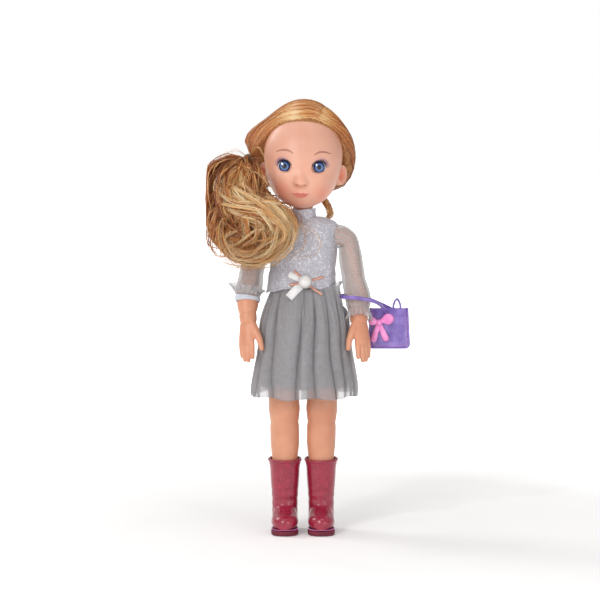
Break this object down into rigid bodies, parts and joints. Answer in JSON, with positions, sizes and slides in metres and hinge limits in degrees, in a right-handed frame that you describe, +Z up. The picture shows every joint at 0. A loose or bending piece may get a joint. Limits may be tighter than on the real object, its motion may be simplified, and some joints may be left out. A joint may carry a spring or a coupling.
{
  "type": "musical doll",
  "caption": "Standing musical doll with turning head, swinging arms and legs, a tummy button that starts its music, a grey dress with gathered skirt, boots, long side hair and a small handbag.",
  "frame": {"origin": "middle of the underside of the box round the whole doll, at floor level", "axes": "+Z up; the doll faces -Y; +X is towards the doll's left hand"},
  "size_m": [0.1644, 0.091, 0.3561],
  "materials": {
    "skin_vinyl": "soft satin vinyl with painted blush",
    "eye": "clear glossy eye with blue iris",
    "torso_plastic": "moulded hard plastic",
    "white_plastic": "moulded plastic",
    "hair": "golden blonde nylon hair, silky",
    "elastic": "brown elastic",
    "glitter_knit": "silver lilac knit with foil glitter",
    "tulle": "sheer grey tulle",
    "lining": "grey woven lining",
    "organza": "sheer grey organza",
    "satin": "white satin ribbon",
    "copper_ribbon": "copper striped ribbon",
    "pearl": "pearl lacquer",
    "closure": "hook and loop tape",
    "boot_vinyl": "crimson glossy vinyl with sparkle",
    "boot_sole": "dark red sole",
    "bag_vinyl": "clear purple vinyl",
    "bag_bow": "bright pink plastic",
    "steel": "bright steel",
    "brass": "brass",
    "board": "green circuit board",
    "black_resin": "black resin",
    "switch": "black plastic",
    "speaker_metal": "grey metal",
    "paper_cone": "black paper cone",
    "button_plastic": "pink plastic"
  },
  "bodies": {
    "torso": {"torso_front": "torso_plastic", "torso_back": "torso_plastic", "battery_door": "torso_plastic", "torso_screw_1": "steel", "torso_screw_2": "steel", "torso_screw_3": "steel", "torso_screw_4": "steel", "hip_axle": "steel", "neck_post": "white_plastic", "sound_module_case": "white_plastic", "circuit_board": "board", "sound_chip": "black_resin", "button_switch": "switch", "button_spring": "steel", "speaker_frame": "speaker_metal", "speaker_magnet": "speaker_metal", "speaker_cone": "paper_cone", "button_cell_1": "steel", "button_cell_2": "steel", "button_cell_3": "steel", "battery_contact_right": "brass", "battery_contact_left": "brass", "battery_door_screw": "steel", "bodice": "glitter_knit", "back_closure_loop_strip": "closure", "back_closure_hook_strip": "closure", "collar": "glitter_knit", "skirt_lining": "lining", "skirt_tulle": "tulle", "white_ribbon_tails": "satin", "copper_ribbon_upper": "copper_ribbon", "copper_ribbon_lower": "copper_ribbon", "waist_pearl": "pearl"},
    "head": {"head_shell": "skin_vinyl", "right_eye": "eye", "left_eye": "eye", "hair_cap": "hair", "hair_side_tail": "hair", "hair_tie": "elastic", "hair_nape_lock": "hair"},
    "music_button": {"music_button": "button_plastic"},
    "left_arm": {"left_arm": "skin_vinyl", "left_sleeve": "organza", "left_cuff_frill": "organza"},
    "right_arm": {"right_arm": "skin_vinyl", "right_sleeve": "organza", "right_cuff_frill": "organza", "right_wrist_band": "satin"},
    "left_leg": {"left_leg": "skin_vinyl", "left_boot": "boot_vinyl", "left_boot_top_roll": "boot_vinyl", "left_boot_sole": "boot_sole"},
    "right_leg": {"right_leg": "skin_vinyl", "right_boot": "boot_vinyl", "right_boot_top_roll": "boot_vinyl", "right_boot_sole": "boot_sole"},
    "handbag": {"handbag_body": "bag_vinyl", "handbag_strap": "bag_vinyl", "handbag_bow": "bag_bow"}
  },
  "joints": [
    {"name": "head_turn", "type": "hinge", "parent": "torso", "child": "head", "pos_m": [-0.00555, 0.00272, 0.262], "axis": [0, 0, 1], "range_deg": [-60, 60], "deforming": ["hair_side_tail"]},
    {"name": "left_shoulder", "type": "hinge", "parent": "torso", "child": "left_arm", "pos_m": [0.02945, 0.00272, 0.246], "axis": [-1, 0, 0], "range_deg": [-30, 120], "deforming": ["skirt_lining", "skirt_tulle"]},
    {"name": "right_shoulder", "type": "hinge", "parent": "torso", "child": "right_arm", "pos_m": [-0.04055, 0.00272, 0.246], "axis": [-1, 0, 0], "range_deg": [-30, 120], "deforming": ["skirt_lining", "skirt_tulle", "hair_side_tail"]},
    {"name": "left_hip", "type": "hinge", "parent": "torso", "child": "left_leg", "pos_m": [0.00945, 0.00272, 0.166], "axis": [-1, 0, 0], "range_deg": [-20, 85], "deforming": ["skirt_lining", "skirt_tulle"]},
    {"name": "right_hip", "type": "hinge", "parent": "torso", "child": "right_leg", "pos_m": [-0.02055, 0.00272, 0.166], "axis": [-1, 0, 0], "range_deg": [-20, 85], "deforming": ["skirt_lining", "skirt_tulle"]},
    {"name": "music_button_press", "type": "slide", "parent": "torso", "child": "music_button", "axis": [0, 1, 0], "range_m": [0, 0.0016], "stiffness_N_per_m": 400, "deforming": ["button_spring"]},
    {"name": "handbag_swing", "type": "hinge", "parent": "left_arm", "child": "handbag", "pos_m": [0.05045, -0.00028, 0.192], "axis": [0, -1, 0], "range_deg": [-15, 15]}
  ]
}
